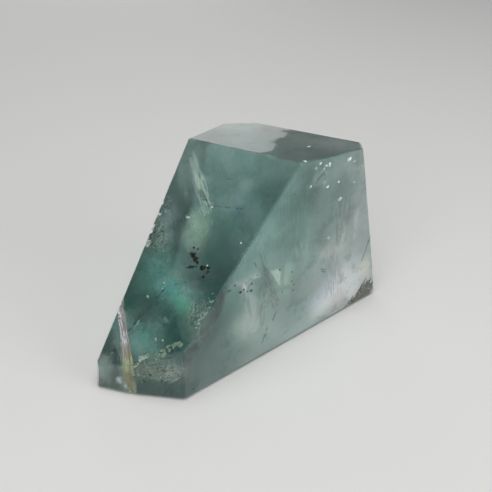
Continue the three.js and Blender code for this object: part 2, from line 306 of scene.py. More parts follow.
# Tones of the broken faces: centre and reach (mm), the dark and the pale of the grain there.
BREAK_TONES = (
    ((17, 2.5, 33), (11, 11, 17), (0.8, 0.86, 0.84), (1, 1, 1)),
    ((-10.4, -3.4, 29.2), (1.5, 1.5, 1.5), (0.34, 0.46, 0.4), (0.64, 0.76, 0.7)),
    ((-7, -16.4, 18.2), (3.4, 3.4, 5), (0.1, 0.2, 0.15), (0.36, 0.5, 0.42)),
    ((25, 8, 3.5), (6.5, 6.5, 6), (0.04, 0.045, 0.028), (0.36, 0.37, 0.29)),
    ((-13, -19.3, 10.5), (8.5, 3, 4), (0.1, 0.18, 0.14), (0.3, 0.4, 0.31)),
    ((-17, -19.5, 3.5), (8, 2.5, 4.5), (0.06, 0.11, 0.08), (0.26, 0.34, 0.25)),
    ((-15.5, 0, 26.5), (5, 8, 8), (0.05, 0.08, 0.07), (0.95, 0.97, 0.95)),
    ((-22, -13, 11.5), (3.5, 7.5, 6.5), (0.06, 0.065, 0.06), (0.8, 0.81, 0.83)),
    ((-20.7, -18, 4.5), (2.8, 5, 8), (0.1, 0.13, 0.07), (0.6, 0.66, 0.43)),
)

# The fissure: the way across its upper part and how far its lip lies that way, the same for its lower part,
# how far back its torn band reaches, and the way its fibres run.
FISSURE_ACROSS = (-0.8985, 0.1327, -0.4172)
FISSURE_LIP = 12.9 * MM
FISSURE_LOW_ACROSS = (-1, 0, 0)
FISSURE_LOW_LIP = 20.6 * MM
FISSURE_BACK = -8.5 * MM
FISSURE_WAY = (0.18, -0.74, -0.64)

# The torn band beside it, in its upper and its lower part: two heights, and the band's width at each.
BAND_UPPER = (15.5 * MM, 9 * MM, 0.6 * MM, 1.75 * MM)
BAND_LOWER = (0.4 * MM, 4 * MM, 0.7 * MM, 1.9 * MM)

# The sheet of healed fracture: corner, run along, run across (mm), share of the sheet that is left.
FRACTURE = ((-22.9, -10.2, 14), (1.9, -6.6, -5.6), (-0.75, 1.15, -0.65), 0.62)

# Hairline threads: stations (mm), thickness (mm), and whether the thread is dark.
THREADS = (
    (((-22.5, -10.6, 13.9), (-21.9, -13.4, 11.5), (-21.1, -16.7, 8.7), (-20.7, -18.3, 7.3)), 0.07, False),
    (((-20.5, -18.7, 6.6), (-20.5, -18.7, 3.8), (-20.4, -18.8, 0.9)), 0.09, True),
    (((-26.9, -16.5, 4.6), (-25.9, -16.3, 6), (-24.4, -15.7, 7.6)), 0.06, False),
    (((-7.6, -0.9, 32.7), (-6.9, -2.1, 31.8), (-6.2, -3.1, 31.3)), 0.1, True),
    (((-7.7, -1.6, 31.9), (-6.9, -2, 32), (-5.9, -2.3, 32.3)), 0.08, True),
    (
        ((-5.9, -3, 31.5), (-4.7, -3.3, 32), (-3.2, -4, 32.2), (-1.4, -5, 32.3), (-0.4, -5.5, 32.4)),
        0.07,
        True,
    ),
    (((-4.5, -3.4, 32), (-3.6, -3.9, 32.1)), 0.16, True),
    (((-1.4, -5, 32.3), (-0.5, -5.4, 32.4)), 0.15, True),
    (((-11, -3.6, 27.9), (-10.3, -3.8, 28.1), (-9, -4.3, 28.4)), 0.12, True),
    (((-7.9, 0.8, 34.2), (-7.1, -0.5, 33.2), (-5.9, -3, 31.5)), 0.09, False),
    (((-3.2, -0.6, 35.6), (-2.5, -1, 35.7)), 0.12, True),
    (((-10.3, 5.2, 37.1), (-9.6, 4.8, 37.2)), 0.1, True),
    (((5.9, -6.6, 9.5), (5.2, -7.2, 8)), 0.14, True),
    (((4.3, -7.9, 7), (3.9, -8.2, 6.1), (3.2, -8.8, 3.4)), 0.11, True),
    (((1.5, -10.1, 24.2), (2, -9.7, 22.9)), 0.13, True),
    (((24.1, 7.9, 11.1), (24.7, 8.3, 13.4), (25.4, 8.9, 15.5), (25.6, 9, 16.7)), 0.12, True),
    (((14.8, 0.4, 14.7), (15.8, 1.2, 13.9)), 0.13, True),
    (((15, 0.6, 14), (16.1, 1.4, 13.2)), 0.11, True),
    (((-2.1, -13.1, 21.7), (-2.1, -13, 19.9), (-2.2, -13.2, 18.2)), 0.08, False),
)

# Dark threads in the two low back edges, painted shade that shows through the front faces as dark lines:
# stations and thickness (mm).
SHADED_LOW_EDGES = (
    ((-27.5, -16.1, 0.5), (-19.8, -2.8, 0.5), (-12.1, 10.4, 0.5)),
    ((-12.1, 10.3, 0.5), (-5.5, 12.2, 0.5), (1.1, 14.1, 0.5)),
)
SHADED_LOW_EDGE_THICKNESS = 0.4

# Bundles of fine needles: middle, run (mm), spread across (mm), count, thickness (mm), whether dark.
BUNDLES = (
    ((-8.6, 2.1, 34.3), (2, -5.6, -4.2), (0.9, 0.5, 0.6), 190, 0.09, False),
    ((-7.3, -0.9, 32.4), (2.1, -3.9, -2), (0.8, 0.5, 0.5), 130, 0.1, False),
    ((-11.3, 2.2, 32.6), (1.8, -5, -3.8), (0.7, 0.4, 0.5), 40, 0.07, False),
    ((-14.6, -5.5, 23.8), (3, 0.6, 2.4), (0.7, 0.7, 0.6), 34, 0.09, True),
    ((-15.8, -4.9, 24.2), (0.8, -1.6, -1), (1.3, 1.3, 1.3), 20, 0.05, False),
    ((20, 4.9, 20.5), (0.5, 0.4, -6), (2.8, 2.2, 3.2), 110, 0.05, False),
    ((3.7, -8.2, 20), (1.2, 0.9, -5), (0.8, 0.7, 1), 60, 0.11, True),
    ((4.6, -7.5, 15.5), (1.3, 1, -5), (0.8, 0.7, 1), 34, 0.09, True),
    ((4.2, -7.8, 17), (1.6, 1.2, -7), (1.2, 1, 1.2), 60, 0.05, False),
    ((12.5, -0.8, 8.5), (0.8, 0.6, -3.6), (5, 4, 2.4), 70, 0.05, False),
)

# Pale clouds of tiny flakes: middle, reach (mm), count, flake size (mm).
CLOUDS = (
    ((-7.9, -3, 28.3), (2.2, 1.8, 2.2), 420, 0.1),
    ((-0.2, -11.3, 20.3), (0.85, 0.7, 0.85), 620, 0.17),
    ((1.5, -9.9, 20.9), (0.9, 0.7, 0.5), 130, 0.14),
    ((-1.5, -12.2, 21.4), (0.45, 0.35, 0.55), 50, 0.12),
    ((-7.4, -15.9, 18.2), (1.7, 1.5, 2.6), 90, 0.1),
)

# Brown iron grains: middle, reach (mm), count, grain size (mm).
GRAINS = (
    ((-9.3, -8.1, 24.3), (0.35, 0.3, 0.35), 20, 0.58),
    ((-8.9, -8.8, 23.9), (0.35, 0.3, 0.45), 24, 0.6),
    ((-8.5, -9.3, 23.6), (0.2, 0.2, 0.2), 11, 0.33),
    ((-9.5, -9.5, 22.7), (0.5, 0.15, 0.15), 20, 0.35),
    ((-10.3, -9.4, 22.4), (0.35, 0.1, 0.1), 8, 0.22),
    ((-8.6, -9.9, 23), (0.45, 0.1, 0.1), 11, 0.22),
    ((-7.7, -10.3, 23.1), (0.33, 0.3, 0.3), 22, 0.6),
    ((-7.1, -10.4, 23.4), (0.12, 0.1, 0.1), 7, 0.3),
    ((-6.5, -10.8, 23.4), (0.12, 0.12, 0.12), 7, 0.33),
    ((-6.6, -11.3, 22.8), (0.2, 0.15, 0.25), 11, 0.25),
    ((-7.4, -11.6, 22), (0.2, 0.2, 0.3), 13, 0.28),
    ((-9.2, -7.2, 25.2), (0.15, 0.12, 0.12), 7, 0.28),
    ((-8.5, -7.6, 25.3), (0.4, 0.12, 0.12), 8, 0.19),
    ((-10.3, -5.5, 26.2), (0.7, 0.5, 0.6), 36, 0.2),
    ((-7, -13.5, 20.4), (0.3, 0.2, 0.3), 10, 0.22),
    ((-7.6, -13.9, 19.7), (0.2, 0.2, 0.25), 7, 0.2),
    ((-0.9, -12, 18.9), (0.22, 0.2, 0.2), 17, 0.43),
    ((-0.3, -11.5, 19), (0.15, 0.12, 0.1), 7, 0.3),
    ((1, -10.4, 18.1), (0.15, 0.12, 0.3), 14, 0.35),
    ((1.1, -10.4, 19.6), (0.12, 0.1, 0.12), 7, 0.33),
    ((-1.9, -12.7, 21.1), (0.12, 0.1, 0.35), 10, 0.28),
    ((0.3, -11, 18.3), (0.12, 0.1, 0.12), 6, 0.25),
    ((-2.9, -13.5, 20.5), (0.45, 0.3, 0.18), 22, 0.28),
    ((-4.1, -14.5, 19.9), (0.25, 0.2, 0.2), 11, 0.22),
    ((-4.2, -14.6, 18.7), (0.15, 0.15, 0.2), 7, 0.2),
    ((6.3, -6.5, 19.6), (0.08, 0.06, 0.12), 7, 0.33),
    ((8.8, -4.3, 17.5), (0.12, 0.1, 0.2), 8, 0.22),
    ((8.8, -4.3, 15.4), (0.12, 0.1, 0.15), 7, 0.22),
    ((9.3, -3.9, 14.3), (0.12, 0.1, 0.2), 8, 0.22),
    ((9.2, -4, 12.9), (0.1, 0.1, 0.15), 6, 0.22),
    ((8.9, -4.2, 11.4), (0.1, 0.1, 0.15), 6, 0.2),
    ((7, -5.7, 13.8), (0.1, 0.1, 0.2), 6, 0.22),
    ((4.6, -7.6, 7.8), (0.2, 0.15, 0.3), 8, 0.19),
    ((4.5, -7.7, 4.8), (0.3, 0.25, 0.5), 11, 0.18),
    ((2.1, -9.6, 20.9), (0.1, 0.1, 0.12), 6, 0.2),
    ((-12.1, -11.9, 18.8), (0.15, 0.15, 0.15), 6, 0.2),
)

# Cleavage flashes: the corners of each small bright plane (mm).
FLASHES = (
    ((4.4, -7.7, 20.4), (6.1, -6.4, 20.1), (6.7, -5.9, 18.8), (6.4, -6.2, 15.6)),
    ((-19.3, -13, 13.4), (-19.4, -13.7, 12.6), (-20.4, -13.8, 12)),
)

# Minerals: scale of the patches, where the noise turns from one tone to the other, the two tones, and the
# roughness of each.
MINERALS = {
    "pale_mineral": (1800.0, (0.35, 0.65), (0.62, 0.82, 0.72), (0.97, 1, 0.97), (0.3, 0.7)),
    "iron_brown": (1500.0, (0.4, 0.62), (0.01, 0.01, 0.01), (0.085, 0.042, 0.024), (0.35, 0.8)),
    "dark_thread": (1100.0, (0.4, 0.6), (0.02, 0.045, 0.04), (0.07, 0.12, 0.1), (0.6, 0.6)),
}

# Pieces that are drawn from the tables above: name, whether they take the dark rows, and their mineral.
THREAD_PIECES = (("dark_hairlines_and_edge_shade", True, "dark_thread"), ("bright_hairlines", False, "pale_mineral"))
NEEDLE_PIECES = (("pale_needles", False, "pale_mineral"), ("dark_needles", True, "dark_thread"))

# Lights: name, place and the point that it faces (m), size (m), radiance, colour, and its roll.
LIGHTS = (
    ("overhead", (0, -0.06, 0.42), (0, 0, 0), 0.3, 3.4, (1, 0.99, 0.97), 0),
    ("right_side", (0.26, -0.15, 0.14), (0, 0, 0.02), 0.2, 2.2, (1, 0.99, 1), 0),
    ("front", (-0.15, -0.306, 0.3), (0, 0, 0.02), 0.26, 2.1, (1, 1, 1), 0),
    ("low_back", (-0.0985, 0.33, 0.075), (-0.0985, 0, 0.075), 0.2, 0.95, (1, 1, 1), math.radians(-36.2)),
)
LIGHT_BOUNCES = 16

# The paper sweep: radius of its flat part, radius of its bend, its height (m), and the steps of its curves.
SWEEP_FLAT = 0.62
SWEEP_BEND = 0.3
SWEEP_TOP = 0.5
BEND_STEPS = 24
ROUND_STEPS = 96


# ---------------------------------------------------------------- settings


class StoneSettings(PropertyGroup):
    """What a user may change about the stone"""

    body_tint: FloatVectorProperty(
        name="Body tint",
        description="Tint of the stone between its colour zones",
        subtype="COLOR",
        default=(0.58, 0.70, 0.67),
        min=0.0,
        max=1.0,
    )
    depth_color: FloatVectorProperty(
        name="Depth colour",
        description="Colour that light keeps as it passes through the stone",
        subtype="COLOR",
        default=(0.20, 0.62, 0.57),
        min=0.0,
        max=1.0,
    )
    depth_density: FloatProperty(
        name="Depth density",
        description="How strongly the stone takes up light, per metre",
        default=45.0,
        min=0.0,
    )
    refraction_index: FloatProperty(
        name="Refraction index",
        description="Refraction index of fluorite",
        default=1.434,
        min=1.0,
        max=3.0,
    )
    break_relief: FloatProperty(
        name="Break relief",
        description="Height of the grain on broken faces",
        default=0.05 * MM,
        min=0.0,
        unit="LENGTH",
    )


class StageSettings(PropertyGroup):
    """What a user may change about the floor and the camera"""

    paper_color: FloatVectorProperty(
        name="Paper colour",
        description="Colour of the plain floor and the sweep behind it",
        subtype="COLOR",
        default=(0.74, 0.74, 0.73),
        min=0.0,
        max=1.0,
    )
    paper_gap: FloatProperty(
        name="Air gap",
        description="Thin air gap between the stone and the paper",
        default=0.1 * MM,
        unit="LENGTH",
    )
    camera_place: FloatVectorProperty(
        name="Camera place",
        description="Place of the camera",
        subtype="TRANSLATION",
        unit="LENGTH",
        default=(0.0001, -0.1114, 0.1),
    )
    camera_pitch: FloatProperty(
        name="Camera pitch",
        description="How far the camera looks down",
        default=math.radians(35.5),
        subtype="ANGLE",
    )
    camera_view: FloatProperty(
        name="Field of view",
        description="Angle of view across the square frame",
        default=math.radians(38.0),
        subtype="ANGLE",
    )


# ---------------------------------------------------------------- modelling helpers


def to_mode(mode):
    """Turns edit mode on or off for the active object."""
    bpy.ops.object.mode_set(mode=mode)


def deselect_all():
    """Leaves edit mode with nothing selected."""
    if bpy.context.object and bpy.context.object.mode != "OBJECT":
        to_mode("OBJECT")
    bpy.ops.object.select_all(action="DESELECT")


def pick(piece):
    """Makes one object the only selected and active one."""
    deselect_all()
    piece.select_set(True)
    bpy.context.view_layer.objects.active = piece


def placed(name, data):
    """A new object in the scene."""
    piece = bpy.data.objects.new(name, data)
    bpy.context.scene.collection.objects.link(piece)
    return piece


def thickened(piece, thickness):
    """Makes a sheet a thin closed plate."""
    wall = piece.modifiers.new("wall", "SOLIDIFY")
    wall.thickness = thickness
    bpy.ops.object.modifier_apply(modifier=wall.name)
    return piece


def finish_piece(piece, material):
    """Gives a piece its one material and lets it ride on the stone's body."""
    piece.data.materials.clear()
    piece.data.materials.append(material)
    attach(piece, BODY)


# ---------------------------------------------------------------- shading helpers


def opaque(color):
    """The colour with its alpha."""
    return (*color, 1.0)


class Shades:
    """The nodes of one material, added and joined in few words.

    Nodes are added from the innermost term of a formula outwards.
    """

    def __init__(self, name):
        self.material = bpy.data.materials.new(name)
        self.material.use_nodes = True
        self.tree = self.material.node_tree
        self.tree.nodes.clear()
        self.output = self.add("ShaderNodeOutputMaterial")
        self.surface = self.add("ShaderNodeBsdfPrincipled")
        self.tree.links.new(self.surface.outputs["BSDF"], self.output.inputs["Surface"])
        self.place = self.add("ShaderNodeTexCoord").outputs["Object"]

    def add(self, kind, inputs=None, **settings):
        node = self.tree.nodes.new(kind)
        for name, value in settings.items():
            setattr(node, name, value)
        for name, value in (inputs or {}).items():
            self.feed(node.inputs[name], value)
        return node

    def feed(self, socket, value):
        if isinstance(value, bpy.types.NodeSocket):
            self.tree.links.new(value, socket)
        else:
            socket.default_value = value

    def put(self, name, value):
        """Joins or sets one input of the surface."""
        self.feed(self.surface.inputs[name], value)

    def math(self, operation, first, second):
        return self.add("ShaderNodeMath", {0: first, 1: second}, operation=operation).outputs[0]

    def times(self, first, second):
        return self.math("MULTIPLY", first, second)

    def plus(self, first, second):
        return self.math("ADD", first, second)

    def minus(self, first, second):
        return self.math("SUBTRACT", first, second)

    def larger(self, first, second):
        return self.math("MAXIMUM", first, second)

    def smaller(self, first, second):
        return self.math("MINIMUM", first, second)

    def share(self, value):
        """The value held between 0 and 1."""
        return self.larger(self.smaller(value, 1.0), 0.0)

    def vector(self, operation, first, second):
        node = self.add("ShaderNodeVectorMath", {0: first, 1: second}, operation=operation)
        return node.outputs["Value" if operation in ("LENGTH", "DOT_PRODUCT") else "Vector"]

    def dot(self, first, second):
        return self.vector("DOT_PRODUCT", first, second)

    def along(self, way):
        """How far the place lies along a way."""
        return self.dot(self.place, way)

    def noise(self, scale, detail=3.0, roughness=0.5, place=None):
        inputs = {"Vector": place or self.place, "Scale": scale, "Detail": detail, "Roughness": roughness}
        return self.add("ShaderNodeTexNoise", inputs).outputs["Fac"]

    def wandering(self, scale, detail, roughness, reach):
        """The place shifted by noise, up to about half the reach (mm) each way."""
        axes = (("X", 1.0), ("Y", 1.13), ("Z", 0.89))
        shifts = {axis: self.noise(scale * pace, detail, roughness) for axis, pace in axes}
        shift = self.add("ShaderNodeCombineXYZ", shifts).outputs["Vector"]
        shift = self.vector("MULTIPLY", self.vector("SUBTRACT", shift, (0.5, 0.5, 0.5)), (reach * MM,) * 3)
        return self.vector("ADD", self.place, shift)

    def ramp(self, value, low, high, start=0.0, end=1.0):
        """A smooth step from start at low to end at high."""
        inputs = {"Value": value, "From Min": low, "From Max": high, "To Min": start, "To Max": end}
        step = self.add("ShaderNodeMapRange", inputs, interpolation_type="SMOOTHSTEP", clamp=False)
        return step.outputs["Result"]

    def mix(self, factor, first, second):
        node = self.add("ShaderNodeMix", data_type="RGBA")
        self.feed(node.inputs[0], factor)
        self.feed(node.inputs[6], first)
        self.feed(node.inputs[7], second)
        return node.outputs[2]

    def laid(self, tint, mask, share, color):
        """The tint with a share of a colour laid over it where the mask is 1."""
        return self.mix(self.times(mask, share), tint, opaque(color))

    def added(self, value, mask, share):
        """The value with a share added to it where the mask is 1."""
        return self.plus(value, self.times(mask, share))

    def within(self, place, centre, reach):
        """1 at the centre of an ellipsoid given in millimetres, falling smoothly to 0 at its skin."""
        offset = self.vector("SUBTRACT", place, Vector(centre) * MM)
        scaled = self.vector("DIVIDE", offset, Vector(reach) * MM)
        return self.ramp(self.vector("LENGTH", scaled, (0.0, 0.0, 0.0)), 0.15, 1.0, 1.0, 0.0)

    def beside_line(self, place, start, end, width):
        """1 on the line between two places in millimetres, falling smoothly to 0 at the width."""
        start, run = Vector(start) * MM, (Vector(end) - Vector(start)) * MM
        offset = self.vector("SUBTRACT", place, start)
        along = self.dot(offset, run)
        share = self.share(self.math("DIVIDE", along, run.length_squared))
        saved = self.minus(self.times(along, 2.0), self.times(share, run.length_squared))
        squared = self.minus(self.dot(offset, offset), self.times(share, saved))
        return self.ramp(squared, (0.3 * width * MM) ** 2, (width * MM) ** 2, 1.0, 0.0)

    def inside_outline(self, place, corners, way, soft=0.15):
        """1 inside the outline that the corners (mm) draw as seen along a way, with a soft edge (mm)."""
        nearest = 1.0
        middle = sum((Vector(corner) for corner in corners), Vector()) / len(corners)
        for first, second in zip(corners, corners[1:] + corners[:1]):
            inward = Vector(way).cross(Vector(second) - Vector(first)).normalized()
            if inward.dot(middle - Vector(first)) < 0.0:
                inward = -inward
            gap = self.minus(self.dot(place, inward), inward.dot(Vector(first)) * MM)
            nearest = self.smaller(nearest, gap)
        return self.ramp(nearest, 0.0, soft * MM)

    def stretched(self, way, length, width):
        """The place measured in cells that are long one way, for grain and scratches that run that way."""
        turn = Vector(way).to_track_quat("X", "Z").to_euler()
        inputs = {"Vector": self.place, "Rotation": turn, "Scale": (length, width, width)}
        return self.add("ShaderNodeMapping", inputs, vector_type="TEXTURE").outputs["Vector"]


# ---------------------------------------------------------------- the stone


def zoned_tint(shades, settings):
    """The tint and the milkiness of the stone from zone to zone and from mark to mark."""
    drifted = shades.wandering(70.0, 3.0, 0.5, 7.0)
    ragged = shades.wandering(650.0, 4.0, 0.65, 2.4)
    tint = opaque(settings.body_tint)
    milk = 0.0
    for place, zones in ((drifted, COLOUR_ZONES), (ragged, MARKS)):
        for centre, reach, color, share, milkiness in zones:
            zone = shades.within(place, centre, reach)
            tint = shades.laid(tint, zone, share, color)
            if milkiness:
                milk = shades.added(milk, zone, milkiness)
    return tint, milk


def speckled(shades, tint, milk):
    """Adds the dark and pale grains of the bruised patches."""
    dark_grains = shades.ramp(shades.noise(2300.0, 3.0, 0.65), 0.50, 0.60)
    pale_grains = shades.ramp(shades.noise(2900.0, 3.0, 0.65), 0.52, 0.64)
    for centre, reach in SPECKLED:
        patch = shades.ramp(shades.within(shades.place, centre, reach), 0.0, 0.5)
        pale = shades.times(patch, pale_grains)
        tint = shades.mix(shades.times(patch, dark_grains), tint, opaque(DARK_BRUISE))
        tint = shades.laid(tint, pale, 0.9, PALE_BRUISE)
        milk = shades.added(milk, pale, 0.22)
    return tint, milk


def edge_wear_and_highlight(shades):
    """1 along the edges where two facets meet, broken up by noise, and 0 on the open facets.

    Each place lies in the plane of its own facet, which counts for 1, so the sum starts at -1.
    """
    width = shades.ramp(shades.noise(420.0, 4.0, 0.6), 0.42, 0.66, 0.04 * MM, 0.17 * MM)
    total = -1.0
    for normal, offset in facet_planes():
        gap = shades.minus(offset, shades.along(normal))
        total = shades.plus(total, shades.ramp(gap, 0.0, width, 1.0, 0.0))
    return shades.share(total)


def torn_band(shades, height):
    """The ragged fibrous band along the left of the fissure's lip, and the fainter fibres beside it."""
    upper = shades.minus(shades.along(FISSURE_ACROSS), FISSURE_LIP)
    lower = shades.minus(shades.along(FISSURE_LOW_ACROSS), FISSURE_LOW_LIP)
    side = shades.smaller(upper, lower)
    width = shades.smaller(shades.ramp(height, *BAND_UPPER), shades.ramp(height, *BAND_LOWER))
    ragged = shades.minus(shades.noise(1.0, 3.0, 0.6, place=fibre_cells(shades)), 0.5)
    side = shades.plus(side, shades.times(ragged, 1.8 * MM))
    in_front = shades.math("LESS_THAN", shades.along(BACKWARD), FISSURE_BACK)
    here = shades.times(shades.math("GREATER_THAN", side, -0.25 * MM), in_front)
    band = shades.times(shades.math("LESS_THAN", side, width), here)
    beyond = shades.times(shades.ramp(side, 1.6 * MM, 3.4 * MM, 1.0, 0.0), here)
    low = shades.ramp(height, 7.0 * MM, 10.0 * MM, 1.0, 0.0)
    return band, shades.times(beyond, low)


def fibre_cells(shades):
    """Cells that are long the way the fissure's fibres run."""
    return shades.stretched(FISSURE_WAY, 3.0 * MM, 0.17 * MM)


def frosted_tone(shades, band, streaks):
    """The grainy tone of the broken faces, with lengthwise streaks in the fissure."""
    frost = shades.ramp(shades.noise(2100.0, 4.0, 0.7), 0.38, 0.58)
    grain = shades.plus(frost, shades.times(band, shades.minus(streaks, frost)))
    dark = opaque(DARK_BREAK)
    pale = opaque(PALE_BREAK)
    for centre, reach, dark_there, pale_there in BREAK_TONES:
        zone = shades.ramp(shades.within(shades.place, centre, reach), 0.1, 0.6)
        dark = shades.mix(zone, dark, opaque(dark_there))
        pale = shades.mix(zone, pale, opaque(pale_there))
    tone = shades.mix(grain, dark, pale)
    stained = shades.times(band, shades.ramp(shades.noise(380.0, 3.0), 0.45, 0.62))
    return shades.laid(tone, stained, 0.6, BREAK_STAIN)


def spotted(shades, tint, milk):
    """Adds the painted flash glint, the scored corner, the lines and the spots, whose white ones are
    painted glints; also tells where those glints lie.
    """
    ragged = shades.wandering(1700.0, 3.0, 0.65, 0.6)
    on_facet = shades.ramp(shades.along(FRONT_RIGHT_WAY), *FRONT_RIGHT_SKIN)
    # Painted reflection: the cleavage plane's pale green flash is laid into the facet's tint and milk.
    flash_glint = shades.times(shades.inside_outline(ragged, FLASH_GLINT_OUTLINE, FRONT_RIGHT_WAY), 0.65)
    flash_glint = shades.times(flash_glint, on_facet)
    tint = shades.mix(flash_glint, tint, opaque(PAINTED_FLASH_GLINT))
    milk = shades.added(milk, flash_glint, 0.30)
    jagged = shades.wandering(620.0, 4.0, 0.7, 3.0)
    gash = shades.times(shades.inside_outline(jagged, GASH, FRONT_RIGHT_WAY, 0.4), on_facet)
    tint = shades.laid(tint, gash, 0.92, SCORED_CORNER)
    milk = shades.added(milk, gash, 0.38)
    for start, end, width, paleness in LINES:
        line = shades.beside_line(ragged, start, end, width)
        tone = Vector(DARK_LINE).lerp(Vector(PALE_LINE), paleness)
        tint = shades.laid(tint, line, 0.8, tone)
        if paleness > 0.5:
            milk = shades.added(milk, line, 0.15)
    # Painted highlights: the white spots stand for glints, and where they lie is gathered here.
    painted_glints = 0.0
    for centre, reach, tone in SPOTS:
        spot = shades.ramp(shades.within(ragged, centre, (reach,) * 3), 0.1, 0.45)
        tint = shades.mix(spot, tint, opaque(tone))
        if tone == PAINTED_GLINT:
            painted_glints = shades.larger(painted_glints, spot)
    return tint, milk, painted_glints


def veiled(shades, tint, milk):
    """Adds the veils, each made of fine streaks that run along it."""
    for start, end, width, color, milkiness in VEILS:
        run = Vector(end) - Vector(start)
        fibres = shades.noise(1.0, 3.0, 0.7, place=shades.stretched(run, 3.5 * MM, 0.34 * MM))
        veil = shades.beside_line(shades.place, start, end, width)
        veil = shades.times(veil, shades.ramp(fibres, 0.46, 0.56))
        tint = shades.laid(tint, veil, 0.75, color)
        milk = shades.added(milk, veil, milkiness)
    return tint, milk


def weathered(shades, tint, milk):
    """Adds the fine dark and pale specks and the hair scratches that cover the whole skin."""
    specks = shades.noise(1300.0, 6.0, 0.75)
    dark = shades.ramp(specks, 0.40, 0.28)
    pale = shades.ramp(specks, 0.60, 0.74)
    scratches = scratch_pattern(shades)
    tint = shades.laid(tint, dark, 0.75, DARK_SPECK)
    tint = shades.laid(tint, pale, 0.45, PALE_SPECK)
    tint = shades.laid(tint, scratches, 0.5, SCRATCH)
    milk = shades.added(milk, pale, 0.10)
    return tint, shades.added(milk, scratches, 0.10), scratches


def clear_fluorite(settings):
    """See-through stone with soft colour zones, haze, polish scratches and rough broken faces."""
    shades = Shades("clear_fluorite")
    broken = shades.add("ShaderNodeAttribute", attribute_name=BROKEN).outputs["Fac"]

    clouds = shades.ramp(shades.noise(150.0, 6.0, 0.62), 0.40, 0.66)
    fibres = shades.noise(1.0, 5.0, 0.65, place=shades.stretched((0.08, -0.05, -1.0), 6.0 * MM, 0.5 * MM))
    wisps = shades.ramp(fibres, 0.48, 0.68)
    tint, milk = veiled(shades, *zoned_tint(shades, settings))
    tint, milk = speckled(shades, tint, milk)
    tint, milk, scratches = weathered(shades, tint, milk)
    murky = shades.ramp(shades.noise(260.0, 5.0, 0.65), 0.48, 0.34)
    tint = shades.laid(tint, clouds, 0.36, PALE_HAZE)
    tint = shades.laid(tint, murky, 0.4, MURK)
    tint = shades.laid(tint, wisps, 0.18, WISP)
    height = shades.along(UP)
    # Painted contact shade: a thin band along the foot is darkened and made less milky.
    foot = shades.ramp(height, *FOOT_EDGE, 1.0, 0.0)
    tint = shades.laid(tint, foot, 0.85, FOOT_SHADE)
    # Painted highlight and wear: the crown's facet edges are laid pale and milky, both as worn edges and as
    # the bright line where their bevels catch light.
    crown = shades.ramp(height, *CROWN_WEAR_AND_HIGHLIGHT)
    worn_and_highlit = shades.times(edge_wear_and_highlight(shades), crown)
    tint = shades.laid(tint, worn_and_highlit, 0.7, WORN_EDGE_AND_HIGHLIGHT)
    band, fibrous = torn_band(shades, height)
    torn = shades.larger(broken, band)
    streaks = shades.ramp(shades.noise(1.0, 4.0, 0.75, place=fibre_cells(shades)), 0.40, 0.58)
    fibrous = shades.times(fibrous, streaks)
    tint = shades.laid(tint, fibrous, 0.7, PALE_FIBRE)
    tint, milk, painted_glints = spotted(shades, tint, milk)
    shades.put("Base Color", shades.mix(torn, tint, frosted_tone(shades, band, streaks)))

    across = shades.along(CLOUDY_WAY)
    near_ridge = shades.ramp(across, CLOUDY_STARTS, CLOUDY_HALF)
    far_side = shades.ramp(across, CLOUDY_HALF, CLOUDY_FULL)
    high = shades.ramp(height, *ROUGH_HEIGHTS)
    drift = shades.times(shades.noise(160.0, 4.0, 0.6), 14.0 * MM)
    summit = shades.ramp(shades.plus(height, drift), *SUMMIT_HAZE)
    hazed = shades.larger(summit, shades.ramp(across, RIDGE_HAZE_STARTS, RIDGE_HAZE_FULL))
    rough = shades.times(shades.larger(high, near_ridge), 0.11)
    rough = shades.plus(rough, 0.14)
    rough = shades.added(rough, hazed, 0.2)
    rough = shades.larger(rough, shades.times(torn, 0.6))
    shades.put("Roughness", rough)

    veils = shades.plus(shades.times(clouds, 0.06), shades.times(wisps, 0.05))
    milk = shades.plus(milk, veils)
    milk = shades.added(milk, near_ridge, 0.10)
    milk = shades.added(milk, far_side, 0.30)
    milk = shades.times(milk, shades.minus(1.0, foot))
    milk = shades.added(milk, worn_and_highlit, 0.45)
    milk = shades.added(milk, fibrous, 0.35)
    milk = shades.larger(milk, shades.times(band, 0.7))
    milk = shades.larger(milk, shades.times(broken, 0.85))
    milk = shades.share(shades.larger(milk, shades.times(painted_glints, 0.95)))
    shades.put("Transmission Weight", shades.minus(1.0, milk))

    relief = shades.plus(shades.noise(170.0, 2.0), shades.times(scratches, -0.03))
    grain = shades.times(shades.noise(3000.0, 4.0, 0.7), shades.times(broken, 0.6))
    relief = shades.plus(relief, grain)
    bump = shades.add("ShaderNodeBump", {"Height": relief, "Strength": 0.5, "Distance": 0.12 * MM})
    shades.put("Normal", bump.outputs["Normal"])
    shades.put("Coat Normal", bump.outputs["Normal"])
    shades.put("Coat Weight", shades.minus(1.0, torn))

    shades.put("IOR", settings.refraction_index)
    shades.put("Coat IOR", settings.refraction_index)
    shades.put("Coat Roughness", 0.035)
    # The painted glints are made chalky like the broken faces, so that they show plain white.
    chalky_breaks_and_glints = shades.larger(broken, painted_glints)
    shades.put("Subsurface Weight", shades.minus(1.0, chalky_breaks_and_glints))
    shades.put("Subsurface Radius", (0.8, 1.0, 0.95))
    shades.put("Subsurface Scale", 1.2 * MM)
    depth = shades.add("ShaderNodeVolumeAbsorption")
    depth.inputs["Color"].default_value = opaque(settings.depth_color)
    depth.inputs["Density"].default_value = settings.depth_density
    shades.tree.links.new(depth.outputs["Volume"], shades.output.inputs["Volume"])
    return shades.material


